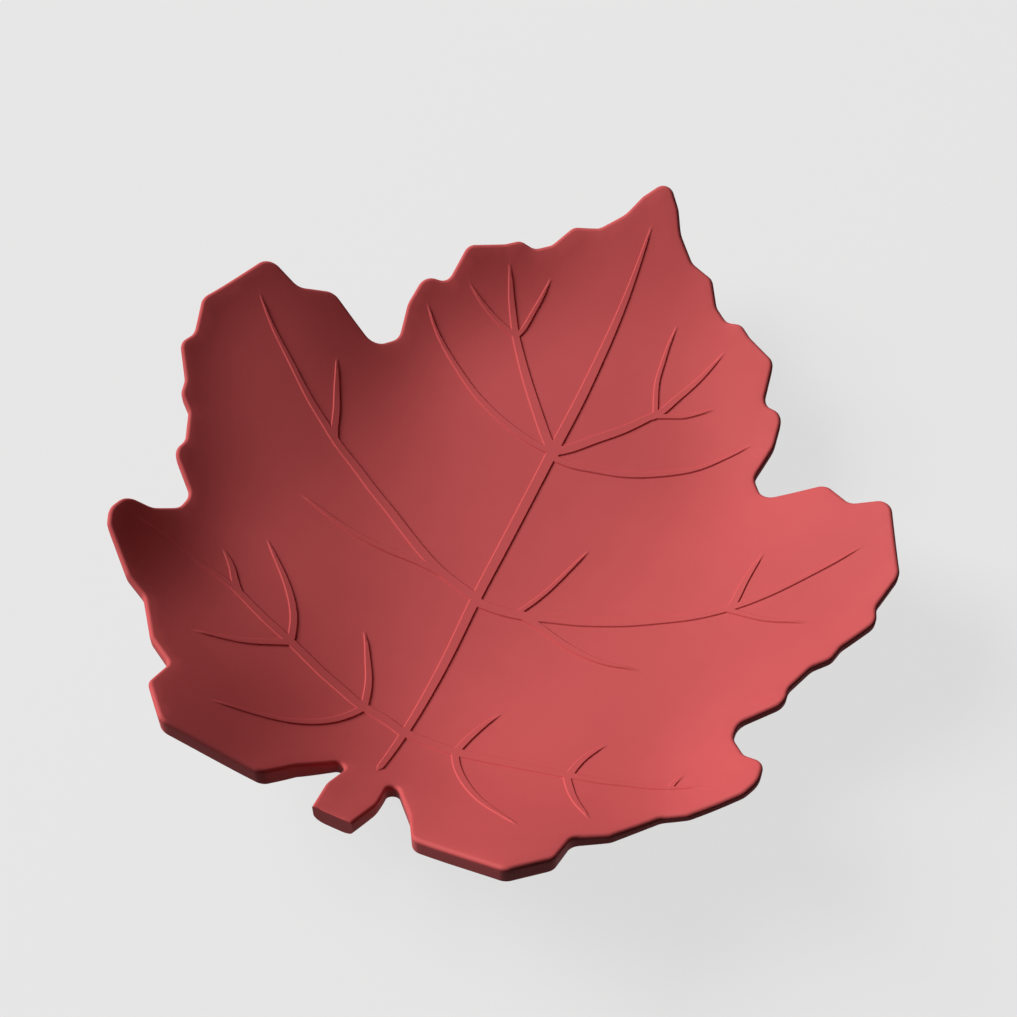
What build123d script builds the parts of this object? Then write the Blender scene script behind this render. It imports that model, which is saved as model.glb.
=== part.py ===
from build123d import *
import os
from math import acos, cos, exp, hypot, radians, sin, tan

os.makedirs("parts", exist_ok=True)

# Leaf dish: one casting with its stem and raised veins, standing on three stick-on pads
# x runs across the leaf, y runs along its middle vein toward the tip, z is up

# Leaf in plan
LEAF_WIDTH = 142.0
LEAF_LENGTH = 146.0

# Bowl: its face rises by BOWL_RISE at BOWL_REACH from the middle, along a power curve
BOWL_RISE = 25.0
BOWL_REACH = 75.0
BOWL_POWER = 2.4

# Soft swells and dips that curl the lobes: their unit height, and how far each spreads
SWELL_HEIGHT = 3.0
SWELL_REACH = 13.0

# Casting, measured straight down
BODY_THICKNESS = 3.4
STEM_THICKENING = 2.8
THICKENING_START = 50.0
THICKENING_END = 70.0

# Rounded rims of the casting
TOP_ROUND = 0.6
UNDER_ROUND = 1.2

# Corner roundings of the outline, seen from above
NOTCH_CORNER = 1.5
CRISP_CORNER = 2.6
TOOTH_CORNER = 2.6
SOFT_CORNER = 3.2
WIDE_CORNER = 6.0

# Raised veins
VEIN_HEIGHT = 0.4
VEIN_OVERLAP = 0.6
MIDDLE_VEIN_WIDTH = 2.1
MAIN_VEIN_WIDTH = 1.9
BRANCH_VEIN_WIDTH = 1.4
FINE_VEIN_WIDTH = 1.0
VEIN_TIP_WIDTH = 0.35
VEIN_STEM_WIDTH = 1.2
VEIN_TAPER_POWER = 2.5

# Round land under the bowl that carries the pads
LAND_DIAMETER = 60.0
LAND_DROP = 0.4
LAND_ROUND = 0.4

# Stick-on pads and their adhesive discs
PAD_COUNT = 3
PAD_DIAMETER = 10.0
PAD_THICKNESS = 2.0
PAD_ROUND = 0.6
PAD_CIRCLE_DIAMETER = 44.0
PAD_SEAT_DEPTH = 0.6
PAD_SEAT_CLEARANCE = 0.3
ADHESIVE_DIAMETER = 9.0
ADHESIVE_THICKNESS = 0.25

# Working allowances
OVERRUN = 5.0
SURFACE_TOLERANCE = 0.05
SURFACE_ROWS = 17
EDGE_TOLERANCE = 0.01

HALF_WIDTH = LEAF_WIDTH / 2
HALF_LENGTH = LEAF_LENGTH / 2

# Heights above the table, from the pads up to the lowest point of the bowl's face
SEAT_ROOF = PAD_THICKNESS + ADHESIVE_THICKNESS
LAND_LOW = SEAT_ROOF - PAD_SEAT_DEPTH
FACE_LOW = LAND_LOW + LAND_DROP + BODY_THICKNESS

# Swells of one half, mirrored to the other, as shares of half the width, half the length
# and the swell height; a negative one dips
SWELL_SHARES = [
    (0.00, 0.70, -0.55),
    (0.27, 0.66, -0.95),
    (0.00, 1.02, 0.65),
    (0.52, 0.86, 1.05),
    (0.50, 0.42, -1.00),
    (0.74, 0.20, 0.55),
    (1.02, 0.14, -0.95),
    (0.92, -0.10, -0.25),
    (0.72, -0.50, -1.20),
    (1.02, -0.50, 1.00),
    (0.00, -0.65, -0.90),
    (0.28, -0.62, -0.55),
    (0.48, -0.98, 1.20),
    (0.50, -0.32, 0.25),
]

# Half of the outline from the tip to the stem, as shares of half the width and half the length
# The third entry is the rounding of that corner
OUTLINE_SHARES = [
    (0.053, 0.959, SOFT_CORNER),
    (0.082, 0.914, WIDE_CORNER),
    (0.140, 0.866, SOFT_CORNER),
    (0.210, 0.845, TOOTH_CORNER),
    (0.250, 0.789, SOFT_CORNER),
    (0.293, 0.761, SOFT_CORNER),
    (0.336, 0.761, TOOTH_CORNER),
    (0.371, 0.736, WIDE_CORNER),
    (0.462, 0.688, TOOTH_CORNER),
    (0.479, 0.588, TOOTH_CORNER),
    (0.542, 0.571, SOFT_CORNER),
    (0.554, 0.489, WIDE_CORNER),
    (0.536, 0.394, SOFT_CORNER),
    (0.584, 0.335, SOFT_CORNER),
    (0.733, 0.394, SOFT_CORNER),
    (0.816, 0.347, SOFT_CORNER),
    (0.913, 0.369, SOFT_CORNER),
    (1.013, 0.175, SOFT_CORNER),
    (0.989, 0.080, SOFT_CORNER),
    (1.006, 0.035, TOOTH_CORNER),
    (0.949, -0.048, SOFT_CORNER),
    (0.939, -0.089, TOOTH_CORNER),
    (0.900, -0.121, SOFT_CORNER),
    (0.868, -0.198, SOFT_CORNER),
    (0.875, -0.245, SOFT_CORNER),
    (0.786, -0.324, SOFT_CORNER),
    (0.791, -0.374, SOFT_CORNER),
    (0.838, -0.425, SOFT_CORNER),
    (0.896, -0.446, SOFT_CORNER),
    (0.905, -0.508, WIDE_CORNER),
    (0.886, -0.549, SOFT_CORNER),
    (0.782, -0.642, SOFT_CORNER),
    (0.721, -0.668, SOFT_CORNER),
    (0.634, -0.776, SOFT_CORNER),
    (0.551, -0.824, TOOTH_CORNER),
    (0.547, -0.918, TOOTH_CORNER),
    (0.461, -1.005, CRISP_CORNER),
    (0.204, -0.988, CRISP_CORNER),
    (0.156, -0.910, SOFT_CORNER),
    (0.051, -0.797, NOTCH_CORNER),
    (0.069, -0.915, WIDE_CORNER),
]
TIP_SHARE = 1.010
STEM_END_SHARE = -1.008
STEM_HALF_WIDTH_SHARE = 0.054
CORNER_LIMIT_SHARE = 0.48


# Veins from root to tip, as shares of half the width and half the length
# Each entry gives the width at the root, the width at the tip and the run of the vein
VEIN_SHARES = [
    # Middle vein, up to the leaf's tip and down to the stem
    (MIDDLE_VEIN_WIDTH, VEIN_TIP_WIDTH, [
        (-0.008, 0.252), (-0.007, 0.304), (-0.004, 0.430), (-0.004, 0.580),
        (-0.001, 0.719), (0.000, 0.811), (-0.001, 0.904)]),
    (MIDDLE_VEIN_WIDTH, VEIN_STEM_WIDTH, [
        (-0.007, 0.304), (-0.008, 0.181), (-0.008, -0.050), (-0.006, -0.229), (0.001, -0.373),
        (0.003, -0.503), (0.005, -0.647), (0.010, -0.786)]),
    # Right side of the tip lobe
    (MAIN_VEIN_WIDTH, BRANCH_VEIN_WIDTH, [
        (-0.007, 0.276), (0.029, 0.302), (0.083, 0.355), (0.138, 0.408), (0.178, 0.454), (0.208, 0.490)]),
    (FINE_VEIN_WIDTH, VEIN_TIP_WIDTH, [
        (0.206, 0.488), (0.184, 0.541), (0.173, 0.573), (0.166, 0.624), (0.162, 0.673), (0.164, 0.723)]),
    (BRANCH_VEIN_WIDTH, VEIN_TIP_WIDTH, [
        (0.203, 0.479), (0.219, 0.501), (0.240, 0.542), (0.277, 0.606), (0.296, 0.642), (0.320, 0.689)]),
    (FINE_VEIN_WIDTH, VEIN_TIP_WIDTH, [
        (0.203, 0.480), (0.248, 0.497), (0.283, 0.509), (0.310, 0.524), (0.336, 0.539), (0.353, 0.550)]),
    (BRANCH_VEIN_WIDTH, VEIN_TIP_WIDTH, [
        (-0.008, 0.262), (0.059, 0.262), (0.119, 0.273), (0.188, 0.288), (0.256, 0.313), (0.311, 0.340),
        (0.359, 0.367), (0.400, 0.397), (0.435, 0.428), (0.464, 0.453), (0.492, 0.480)]),
    # Left side of the tip lobe
    (MAIN_VEIN_WIDTH, BRANCH_VEIN_WIDTH, [
        (-0.001, 0.271), (-0.031, 0.299), (-0.093, 0.365), (-0.157, 0.437), (-0.203, 0.492),
        (-0.254, 0.556)]),
    (FINE_VEIN_WIDTH, VEIN_TIP_WIDTH, [
        (-0.249, 0.544), (-0.238, 0.568), (-0.231, 0.613), (-0.224, 0.662), (-0.219, 0.717)]),
    (BRANCH_VEIN_WIDTH, VEIN_TIP_WIDTH, [
        (-0.247, 0.547), (-0.259, 0.565), (-0.281, 0.599), (-0.302, 0.633), (-0.320, 0.666),
        (-0.339, 0.699)]),
    (FINE_VEIN_WIDTH, VEIN_TIP_WIDTH, [
        (-0.247, 0.547), (-0.263, 0.552), (-0.301, 0.561), (-0.341, 0.574), (-0.380, 0.590),
        (-0.421, 0.611)]),
    (BRANCH_VEIN_WIDTH, VEIN_TIP_WIDTH, [
        (-0.001, 0.275), (-0.036, 0.277), (-0.092, 0.285), (-0.158, 0.302), (-0.222, 0.325),
        (-0.287, 0.356), (-0.350, 0.394), (-0.411, 0.433), (-0.461, 0.471), (-0.503, 0.512)]),
    # Right side lobe
    (MAIN_VEIN_WIDTH, VEIN_TIP_WIDTH, [
        (-0.007, -0.215), (0.059, -0.213), (0.130, -0.202), (0.205, -0.181), (0.260, -0.167),
        (0.331, -0.144), (0.401, -0.118), (0.471, -0.087), (0.536, -0.058), (0.600, -0.023),
        (0.655, 0.014), (0.715, 0.062), (0.758, 0.102), (0.800, 0.143), (0.841, 0.183),
        (0.889, 0.234)]),
    (BRANCH_VEIN_WIDTH, VEIN_TIP_WIDTH, [
        (0.632, -0.002), (0.635, 0.018), (0.637, 0.068), (0.643, 0.123), (0.652, 0.172)]),
    (FINE_VEIN_WIDTH, VEIN_TIP_WIDTH, [
        (0.618, -0.010), (0.663, -0.011), (0.712, -0.013), (0.761, -0.009), (0.803, -0.002),
        (0.838, 0.002)]),
    (BRANCH_VEIN_WIDTH, VEIN_TIP_WIDTH, [
        (0.120, -0.204), (0.177, -0.213), (0.223, -0.227), (0.283, -0.243), (0.346, -0.253),
        (0.400, -0.255), (0.442, -0.250), (0.480, -0.248)]),
    (FINE_VEIN_WIDTH, VEIN_TIP_WIDTH, [
        (0.110, -0.205), (0.148, -0.130), (0.180, -0.040), (0.208, 0.045)]),
    # Left side lobe
    (MAIN_VEIN_WIDTH, VEIN_TIP_WIDTH, [
        (-0.005, -0.205), (-0.080, -0.187), (-0.140, -0.169), (-0.200, -0.142), (-0.260, -0.111),
        (-0.329, -0.074), (-0.399, -0.040), (-0.469, -0.004), (-0.539, 0.029), (-0.599, 0.064),
        (-0.644, 0.090), (-0.700, 0.128), (-0.757, 0.168), (-0.819, 0.211), (-0.889, 0.270)]),
    (BRANCH_VEIN_WIDTH, VEIN_TIP_WIDTH, [
        (-0.551, 0.038), (-0.562, 0.060), (-0.579, 0.104), (-0.602, 0.152), (-0.622, 0.193),
        (-0.646, 0.240)]),
    (BRANCH_VEIN_WIDTH, VEIN_TIP_WIDTH, [
        (-0.105, -0.180), (-0.160, -0.176), (-0.210, -0.176), (-0.270, -0.181), (-0.349, -0.183),
        (-0.419, -0.178), (-0.479, -0.168), (-0.550, -0.156)]),
    # Lower left lobe
    (MAIN_VEIN_WIDTH, VEIN_TIP_WIDTH, [
        (-0.000, -0.650), (-0.064, -0.634), (-0.137, -0.626), (-0.192, -0.611), (-0.257, -0.593),
        (-0.319, -0.572), (-0.394, -0.548), (-0.445, -0.534), (-0.503, -0.514), (-0.581, -0.488),
        (-0.643, -0.480), (-0.713, -0.473), (-0.780, -0.472), (-0.845, -0.475)]),
    (BRANCH_VEIN_WIDTH, VEIN_TIP_WIDTH, [
        (-0.372, -0.553), (-0.389, -0.506), (-0.409, -0.469), (-0.445, -0.424), (-0.484, -0.386),
        (-0.524, -0.353), (-0.564, -0.320)]),
    (BRANCH_VEIN_WIDTH, VEIN_TIP_WIDTH, [
        (-0.550, -0.498), (-0.576, -0.472), (-0.595, -0.449), (-0.621, -0.424), (-0.648, -0.405)]),
    (BRANCH_VEIN_WIDTH, VEIN_TIP_WIDTH, [
        (-0.368, -0.556), (-0.412, -0.587), (-0.453, -0.617), (-0.500, -0.644), (-0.548, -0.667),
        (-0.575, -0.680)]),
    (BRANCH_VEIN_WIDTH, VEIN_TIP_WIDTH, [
        (-0.122, -0.627), (-0.138, -0.576), (-0.158, -0.532), (-0.182, -0.492), (-0.205, -0.454),
        (-0.227, -0.425)]),
    (BRANCH_VEIN_WIDTH, VEIN_TIP_WIDTH, [
        (-0.120, -0.629), (-0.143, -0.676), (-0.169, -0.715), (-0.202, -0.750), (-0.240, -0.780),
        (-0.285, -0.806), (-0.337, -0.830), (-0.387, -0.851), (-0.412, -0.861)]),
    # Lower right lobe
    (MAIN_VEIN_WIDTH, VEIN_TIP_WIDTH, [
        (0.001, -0.649), (0.073, -0.647), (0.144, -0.646), (0.239, -0.635), (0.304, -0.627),
        (0.369, -0.619), (0.432, -0.612), (0.496, -0.604), (0.545, -0.595), (0.602, -0.583),
        (0.650, -0.575), (0.700, -0.563), (0.740, -0.552), (0.781, -0.541)]),
    (BRANCH_VEIN_WIDTH, VEIN_TIP_WIDTH, [
        (0.150, -0.645), (0.160, -0.590), (0.172, -0.552), (0.186, -0.520), (0.204, -0.489)]),
    (BRANCH_VEIN_WIDTH, VEIN_TIP_WIDTH, [
        (0.146, -0.643), (0.175, -0.689), (0.208, -0.724), (0.250, -0.758), (0.299, -0.787),
        (0.355, -0.811), (0.413, -0.834)]),
    (BRANCH_VEIN_WIDTH, VEIN_TIP_WIDTH, [
        (0.449, -0.611), (0.457, -0.553), (0.472, -0.518), (0.496, -0.481)]),
    (BRANCH_VEIN_WIDTH, VEIN_TIP_WIDTH, [
        (0.441, -0.609), (0.473, -0.656), (0.506, -0.693), (0.541, -0.722), (0.560, -0.740)]),
    (FINE_VEIN_WIDTH, VEIN_TIP_WIDTH, [
        (0.700, -0.564), (0.704, -0.540), (0.717, -0.510)]),
]


def swell(x, y):
    """How far the face swells up or dips along the lobes at one place."""
    total = 0
    for share_x, share_y, share_up in SWELL_SHARES:
        for middle_share in {share_x, -share_x}:
            away = hypot(x - middle_share * HALF_WIDTH, y - share_y * HALF_LENGTH) / SWELL_REACH
            total += share_up * SWELL_HEIGHT * exp(-away * away / 2)
    return total


def face_height(x, y):
    """Height of the bowl's face above the table."""
    return FACE_LOW + BOWL_RISE * (hypot(x, y) / BOWL_REACH) ** BOWL_POWER + swell(x, y)


def body_thickness(y):
    """Thickness of the casting, eased from the bowl's to the stem end's."""
    way = (-y - THICKENING_START) / (THICKENING_END - THICKENING_START)
    way = min(max(way, 0), 1)
    return BODY_THICKNESS + STEM_THICKENING * way * way * (3 - 2 * way)


def formula_face(height):
    """A smooth face through a grid of points on the height formula."""
    reach_x = HALF_WIDTH + OVERRUN
    reach_y = HALF_LENGTH + OVERRUN
    steps = [2 * i / (SURFACE_ROWS - 1) - 1 for i in range(SURFACE_ROWS)]
    grid = [
        [Vector(reach_x * a, reach_y * b, height(reach_x * a, reach_y * b)) for b in steps]
        for a in steps
    ]
    return Face.make_surface_from_array_of_points(grid, tol=SURFACE_TOLERANCE)


def rounded_corner(before, corner, after, radius):
    """Start, middle and end of the arc that rounds one corner of an outline."""
    back = (before - corner).normalized()
    ahead = (after - corner).normalized()
    opening = acos(max(-1, min(1, back.dot(ahead))))
    room = CORNER_LIMIT_SHARE * min((before - corner).length, (after - corner).length)
    setback = min(radius / tan(opening / 2), room)
    bisector = (back + ahead).normalized()
    arc_radius = setback * tan(opening / 2)
    middle = corner + bisector * (setback / cos(opening / 2) - arc_radius)
    return corner + back * setback, middle, corner + ahead * setback


def leaf_outline():
    """Closed outline of the leaf: straight runs joined by arcs, sharp at the cut stem end."""
    half = [(x * HALF_WIDTH, y * HALF_LENGTH, r) for x, y, r in OUTLINE_SHARES]
    stem_x = STEM_HALF_WIDTH_SHARE * HALF_WIDTH
    stem_y = STEM_END_SHARE * HALF_LENGTH
    half.append((stem_x, stem_y, 0))
    mirrored = [(-x, y, r) for x, y, r in reversed(half)]
    corners = [(0, TIP_SHARE * HALF_LENGTH, SOFT_CORNER)] + half + mirrored
    points = [Vector(x, y) for x, y, _ in corners]
    edges = []
    first_start = None
    last_end = None
    for i, (_, _, radius) in enumerate(corners):
        before = points[i - 1]
        after = points[(i + 1) % len(points)]
        if radius == 0:
            start, end = points[i], points[i]
        else:
            start, middle, end = rounded_corner(before, points[i], after, radius)
        if last_end is None:
            first_start = start
        else:
            edges.append(Edge.make_line(last_end, start))
        if radius:
            edges.append(Edge.make_three_point_arc(start, middle, end))
        last_end = end
    edges.append(Edge.make_line(last_end, first_start))
    return Wire(edges)


def above(face):
    """Everything over a face, up past the top of the leaf."""
    return extrude(face, amount=face_height(HALF_WIDTH, HALF_LENGTH) + OVERRUN, dir=(0, 0, 1))


def upright(plan):
    """A flat plan as a tall block from under the table to past the top of the leaf."""
    return above(plan.moved(Location((0, 0, -OVERRUN))))


def is_stem_cut(edge):
    """True for the straight edge across the cut end of the stem, which stays sharp."""
    return abs(edge.center().Y - STEM_END_SHARE * HALF_LENGTH) < EDGE_TOLERANCE


def bowl_body(top):
    """The leaf-shaped bowl between its upper and lower face, with rounded rims."""
    under = formula_face(lambda x, y: face_height(x, y) - body_thickness(y))
    body = (upright(Face(leaf_outline())) & above(under)) - above(top)
    upper = sorted_by_side(body)[0]
    body = body.fillet(TOP_ROUND, [e for e in upper.edges() if not is_stem_cut(e)])
    lower = sorted_by_side(body)[1]
    return body.fillet(UNDER_ROUND, lower.edges())


def sorted_by_side(body):
    """The body's two broad faces: the one that looks up, then the one that looks down."""
    broad = sorted(body.faces(), key=lambda f: f.area)[-2:]
    return sorted(broad, key=lambda f: f.normal_at().Z, reverse=True)


def vein_band(root_width, tip_width, run_shares):
    """Plan of one vein: a band along its run that tapers from root to tip."""
    run = Edge.make_spline([Vector(x * HALF_WIDTH, y * HALF_LENGTH) for x, y in run_shares])
    left = []
    right = []
    for i in range(len(run_shares)):
        way = i / (len(run_shares) - 1)
        middle = run.position_at(way)
        along = run.tangent_at(way)
        half = (tip_width + (root_width - tip_width) * (1 - way ** VEIN_TAPER_POWER)) / 2
        across = Vector(-along.Y, along.X) * half
        left.append(middle + across)
        right.append(middle - across)
    sides = [Edge.make_spline(left), Edge.make_spline(right)]
    ends = [Edge.make_line(left[0], right[0]), Edge.make_line(left[-1], right[-1])]
    return Face(Wire(sides + ends))


def raised_veins(top):
    """All veins as one network that stands proud of the bowl's face and reaches into it."""
    bands = [vein_band(*vein) for vein in VEIN_SHARES]
    network = bands[0].fuse(*bands[1:])
    sunk = top.moved(Location((0, 0, -VEIN_OVERLAP)))
    layer = extrude(sunk, amount=VEIN_OVERLAP + VEIN_HEIGHT, dir=(0, 0, 1))
    return (layer & upright(network)).solids()


def pad_places():
    """Centres of the pads, spread evenly on their circle with one toward the tip."""
    radius = PAD_CIRCLE_DIAMETER / 2
    turns = [radians(90 + 360 * i / PAD_COUNT) for i in range(PAD_COUNT)]
    return [(radius * cos(a), radius * sin(a)) for a in turns]


def upright_disc(diameter, low, high):
    """A plain disc between two heights."""
    disc = Cylinder(diameter / 2, high - low, align=(Align.CENTER, Align.CENTER, Align.MIN))
    return disc.moved(Location((0, 0, low)))


def rounded_under(disc, radius):
    """The disc with its lower edge rounded."""
    return fillet(disc.edges().sort_by(Axis.Z)[0], radius)


def land(top):
    """Flat round land under the bowl, let into the wall up to half its thickness."""
    high = face_height(LAND_DIAMETER / 2, 0)
    disc = rounded_under(upright_disc(LAND_DIAMETER, LAND_LOW, high), LAND_ROUND)
    return disc - above(top.moved(Location((0, 0, -BODY_THICKNESS / 2))))


def casting():
    """Bowl, stem, veins and land in one piece, with a shallow seat for each pad."""
    top = formula_face(face_height)
    body = bowl_body(top).fuse(*raised_veins(top)).fuse(*land(top).solids())
    seat = upright_disc(PAD_DIAMETER + 2 * PAD_SEAT_CLEARANCE, -OVERRUN, SEAT_ROOF)
    return body.cut(*[seat.moved(Location((x, y, 0))) for x, y in pad_places()])


def build():
    """All pieces, with the middle of the leaf's length and width over the origin."""
    dish = casting()
    adhesive = upright_disc(ADHESIVE_DIAMETER, PAD_THICKNESS, SEAT_ROOF)
    pad = rounded_under(upright_disc(PAD_DIAMETER, 0, PAD_THICKNESS), PAD_ROUND)
    nodes = {"leaf_dish": dish}
    for number, (x, y) in enumerate(pad_places(), start=1):
        nodes[f"pad_adhesive_{number}"] = adhesive.moved(Location((x, y, 0)))
        nodes[f"foot_pad_{number}"] = pad.moved(Location((x, y, 0)))
    middle = Location((0, -dish.bounding_box().center().Y, 0))
    return {name: shape.moved(middle) for name, shape in nodes.items()}


for name, shape in build().items():
    export_step(shape, f"parts/{name}.step")
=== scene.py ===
# %% [markdown]
# # A leaf-shaped ring dish
# This dish is one casting in a coral-red clay body: a shallow bowl in the shape of a
# maple leaf, with raised veins and a short cut stem. Three soft pads under it keep it
# from sliding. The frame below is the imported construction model. It says where the dish
# stands and how large it is, and every surface made here keeps to it.

# %% Load the frame
from math import cos, pi, radians, sin, tan

import bpy
import numpy as np
from mathutils import Matrix, Vector
from mathutils.geometry import delaunay_2d_cdt


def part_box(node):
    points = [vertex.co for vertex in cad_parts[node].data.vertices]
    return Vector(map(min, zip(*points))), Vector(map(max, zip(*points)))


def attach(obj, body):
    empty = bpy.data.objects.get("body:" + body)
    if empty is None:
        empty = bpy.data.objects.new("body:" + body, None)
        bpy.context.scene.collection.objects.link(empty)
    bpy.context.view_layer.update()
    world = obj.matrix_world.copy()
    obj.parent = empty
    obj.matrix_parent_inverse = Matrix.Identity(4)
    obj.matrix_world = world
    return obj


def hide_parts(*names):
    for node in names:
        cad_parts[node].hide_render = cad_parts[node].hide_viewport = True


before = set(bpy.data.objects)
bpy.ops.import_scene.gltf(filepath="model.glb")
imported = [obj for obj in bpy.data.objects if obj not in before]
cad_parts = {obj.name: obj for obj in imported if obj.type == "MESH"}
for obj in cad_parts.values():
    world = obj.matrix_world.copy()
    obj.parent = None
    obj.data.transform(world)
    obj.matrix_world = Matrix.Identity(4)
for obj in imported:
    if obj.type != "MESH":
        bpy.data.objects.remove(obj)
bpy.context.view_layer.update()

MM = 0.001
dish_low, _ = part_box("leaf_dish")

# %% [markdown]
# ## Driving sizes
# A model that can be changed later needs its sizes in one place. The leaf is measured
# across and along, the bowl by how far its face rises, and each rim by its radius.
# The dish's own frame has its zero under the lowest point of the bowl's face.

# %% Sizes of the dish
LEAF_WIDTH = 142 * MM
LEAF_LENGTH = 146 * MM
HALF_WIDTH = LEAF_WIDTH / 2
HALF_LENGTH = LEAF_LENGTH / 2
BOWL_RISE = 25 * MM
BOWL_REACH = 75 * MM
BOWL_POWER = 2.4
SWELL_HEIGHT = 3.0 * MM
SWELL_REACH = 13.0 * MM
BODY_THICKNESS = 3.4 * MM
STEM_THICKENING = 2.8 * MM
THICKENING_START = 50 * MM
THICKENING_END = 70 * MM
TOP_ROUND = 0.6 * MM
STEM_CUT_ROUND = 0.15 * MM
UNDER_ROUND = 1.2 * MM
LAND_DIAMETER = 60 * MM
LAND_DROP = 0.4 * MM
LAND_ROUND = 0.4 * MM
PAD_SEAT_DEPTH = 0.6 * MM
PAD_SEAT_CLEARANCE = 0.3 * MM
PAD_COUNT = 3
PAD_DIAMETER = 10 * MM
PAD_CIRCLE_DIAMETER = 44 * MM

NOTCH_CORNER = 1.5 * MM
CRISP_CORNER = 2.6 * MM
TOOTH_CORNER = 2.6 * MM
SOFT_CORNER = 3.2 * MM
WIDE_CORNER = 6.0 * MM
TIP_SHARE = 1.010
STEM_END_SHARE = -1.008
STEM_HALF_WIDTH_SHARE = 0.054
CORNER_LIMIT_SHARE = 0.48

land_low = dish_low.z
face_low = land_low + LAND_DROP + BODY_THICKNESS
seat_roof = land_low + PAD_SEAT_DEPTH
middle_y = dish_low.y - STEM_END_SHARE * HALF_LENGTH
print("land at", round(land_low / MM, 2), "mm, bowl face from", round(face_low / MM, 2), "mm")

# %% [markdown]
# ## The bowl as a height over its plan
# The upper face of the dish can be read as a height over every point of the table. A
# power curve of the distance from the middle is nearly flat where things lie, and
# steep at the rim. Soft swells and dips, each a bell curve, then curl the lobes as
# they curl on the real leaf. Because the formulas take whole arrays, one call shapes
# thousands of points.

# %% Height formulas
# Each swell: its middle in half widths and half lengths, and its share of SWELL_HEIGHT
SWELL_SHARES = [
    (0.00, 0.70, -0.55),
    (0.27, 0.66, -0.95),
    (0.00, 1.02, 0.65),
    (0.52, 0.86, 1.05),
    (0.50, 0.42, -1.00),
    (0.74, 0.20, 0.55),
    (1.02, 0.14, -0.95),
    (0.92, -0.10, -0.25),
    (0.72, -0.50, -1.20),
    (1.02, -0.50, 1.00),
    (0.00, -0.65, -0.90),
    (0.28, -0.62, -0.55),
    (0.48, -0.98, 1.20),
    (0.50, -0.32, 0.25),
]


def swell(x, y):
    """Sum over the swells of height * exp(-d^2 / 2), with d the distance in reaches.

    The halves are alike: a swell off the middle line has a twin, and one on it counts once.
    """
    total = 0.0 * (x + y)
    for share_x, share_y, share_up in SWELL_SHARES:
        for middle_share in {share_x, -share_x}:
            away = np.hypot(x - middle_share * HALF_WIDTH, y - share_y * HALF_LENGTH) / SWELL_REACH
            total = total + share_up * SWELL_HEIGHT * np.exp(-away * away / 2)
    return total


def face_height(x, y):
    """Lowest height + rise * (distance from the middle / reach) to a power + the swells."""
    return face_low + BOWL_RISE * (np.hypot(x, y) / BOWL_REACH) ** BOWL_POWER + swell(x, y)


def smooth_step(height, way):
    """Height * (3 way^2 - 2 way^3): a level start and end, as way goes from 0 to 1."""
    return height * way * way * (3 - 2 * way)


def body_thickness(y):
    """Wall thickness: the bowl's, plus a smooth step towards the stem's thicker end."""
    way = np.clip((-y - THICKENING_START) / (THICKENING_END - THICKENING_START), 0, 1)
    return BODY_THICKNESS + smooth_step(STEM_THICKENING, way)


def under_height(x, y):
    """Underside height: the face's height less the wall measured straight down."""
    return face_height(x, y) - body_thickness(y)


tip_height = float(face_height(0, HALF_LENGTH))
side_height = float(face_height(HALF_WIDTH, 0))
print("rim heights at the tip and the side in mm:",
      round(tip_height / MM, 1), round(side_height / MM, 1))

# %% [markdown]
# ## The leaf's outline
# A leaf's edge is a run of small teeth, each a corner with its own softness. The
# corners are given for one half, from the tip down to the stem, as shares of half the
# width and half the length, and the other half mirrors them. Each corner becomes an arc
# tangent to its two straight runs, so the outline stays crisp without being faceted.

# %% Corners of half the outline, with the rounding of each
OUTLINE_SHARES = [
    (0.053, 0.959, SOFT_CORNER),
    (0.082, 0.914, WIDE_CORNER),
    (0.140, 0.866, SOFT_CORNER),
    (0.210, 0.845, TOOTH_CORNER),
    (0.250, 0.789, SOFT_CORNER),
    (0.293, 0.761, SOFT_CORNER),
    (0.336, 0.761, TOOTH_CORNER),
    (0.371, 0.736, WIDE_CORNER),
    (0.462, 0.688, TOOTH_CORNER),
    (0.479, 0.588, TOOTH_CORNER),
    (0.542, 0.571, SOFT_CORNER),
    (0.554, 0.489, WIDE_CORNER),
    (0.536, 0.394, SOFT_CORNER),
    (0.584, 0.335, SOFT_CORNER),
    (0.733, 0.394, SOFT_CORNER),
    (0.816, 0.347, SOFT_CORNER),
    (0.913, 0.369, SOFT_CORNER),
    (1.013, 0.175, SOFT_CORNER),
    (0.989, 0.080, SOFT_CORNER),
    (1.006, 0.035, TOOTH_CORNER),
    (0.949, -0.048, SOFT_CORNER),
    (0.939, -0.089, TOOTH_CORNER),
    (0.900, -0.121, SOFT_CORNER),
    (0.868, -0.198, SOFT_CORNER),
    (0.875, -0.245, SOFT_CORNER),
    (0.786, -0.324, SOFT_CORNER),
    (0.791, -0.374, SOFT_CORNER),
    (0.838, -0.425, SOFT_CORNER),
    (0.896, -0.446, SOFT_CORNER),
    (0.905, -0.508, WIDE_CORNER),
    (0.886, -0.549, SOFT_CORNER),
    (0.782, -0.642, SOFT_CORNER),
    (0.721, -0.668, SOFT_CORNER),
    (0.634, -0.776, SOFT_CORNER),
    (0.551, -0.824, TOOTH_CORNER),
    (0.547, -0.918, TOOTH_CORNER),
    (0.461, -1.005, CRISP_CORNER),
    (0.204, -0.988, CRISP_CORNER),
    (0.156, -0.910, SOFT_CORNER),
    (0.051, -0.797, NOTCH_CORNER),
    (0.069, -0.915, WIDE_CORNER),
]
print("corners in half the outline:", len(OUTLINE_SHARES))

# %% Sample the outline
RUN_SPACING = 0.9 * MM
ARC_SPACING = 0.35 * MM
LEAST_POINTS = 3
STEM_CUT_MARGIN = 1.5 * MM


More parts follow.
